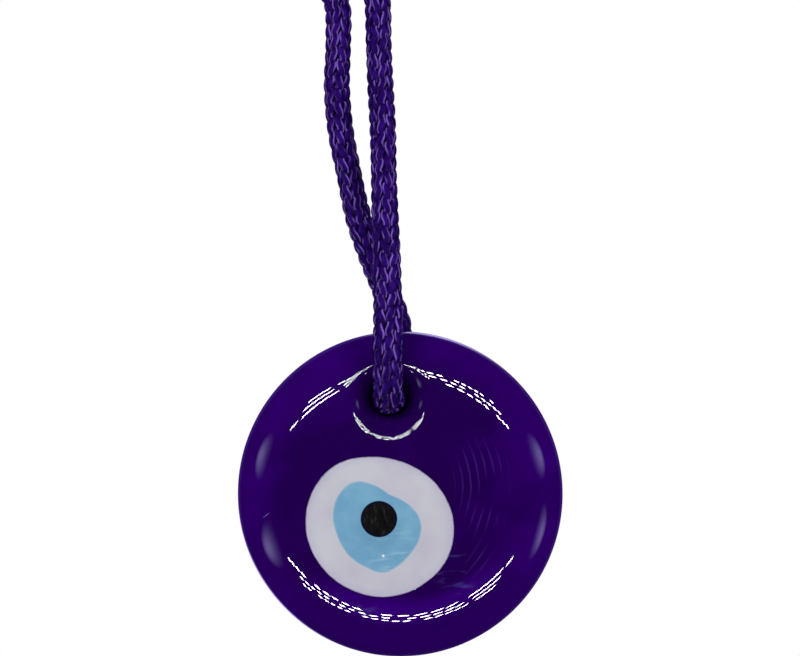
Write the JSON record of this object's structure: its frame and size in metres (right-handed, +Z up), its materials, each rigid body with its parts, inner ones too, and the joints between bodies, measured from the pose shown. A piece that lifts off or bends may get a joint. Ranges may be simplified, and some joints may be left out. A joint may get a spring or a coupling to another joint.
{
  "type": "evil eye ornament",
  "caption": "Dark glass disc with an eye of fused white, blue and black glass, hung from a knotted loop of knitted cord through a hole near its rim.",
  "frame": {"origin": "the hanging point, where a nail or hook sits in the loop just under the knot", "axes": "+Z up, the eye faces -Y, +X to the right as seen by someone looking at the eye"},
  "size_m": [0.05, 0.0167, 0.1328],
  "materials": {
    "disc_glass": "fire-polished, dark indigo and almost opaque",
    "white_glass": "opaque white, fire-polished",
    "blue_glass": "opaque pale blue, fire-polished",
    "black_glass": "opaque near-black, fire-polished",
    "cord": "knitted filament yarn with a satin sheen"
  },
  "bodies": {
    "hanger": {"top_knot": "cord", "cord_end_front": "cord", "cord_end_rear": "cord"},
    "sling": {"cord_front_leg": "cord", "cord_rear_leg": "cord"},
    "bight": {"cord_bight": "cord"},
    "pendant": {"glass_disc": "disc_glass", "eye_white": "white_glass", "eye_iris": "blue_glass", "eye_pupil": "black_glass"}
  },
  "joints": [
    {"name": "pendant_twist", "type": "hinge", "parent": "hanger", "child": "sling", "pos_m": [0, 0, 0], "axis": [0, 0, 1], "range_deg": [-120, 120], "stiffness_Nm_per_rad": 0.0001, "deforming": ["cord_front_leg", "cord_rear_leg"]},
    {"name": "disc_nod", "type": "hinge", "parent": "sling", "child": "bight", "pos_m": [0, 0, -0.07], "axis": [1, 0, 0], "range_deg": [-8, 8], "deforming": ["cord_front_leg", "cord_rear_leg"]},
    {"name": "disc_rock", "type": "hinge", "parent": "bight", "child": "pendant", "pos_m": [0, 0, -0.07], "axis": [0, 1, 0], "range_deg": [-40, 40]}
  ]
}
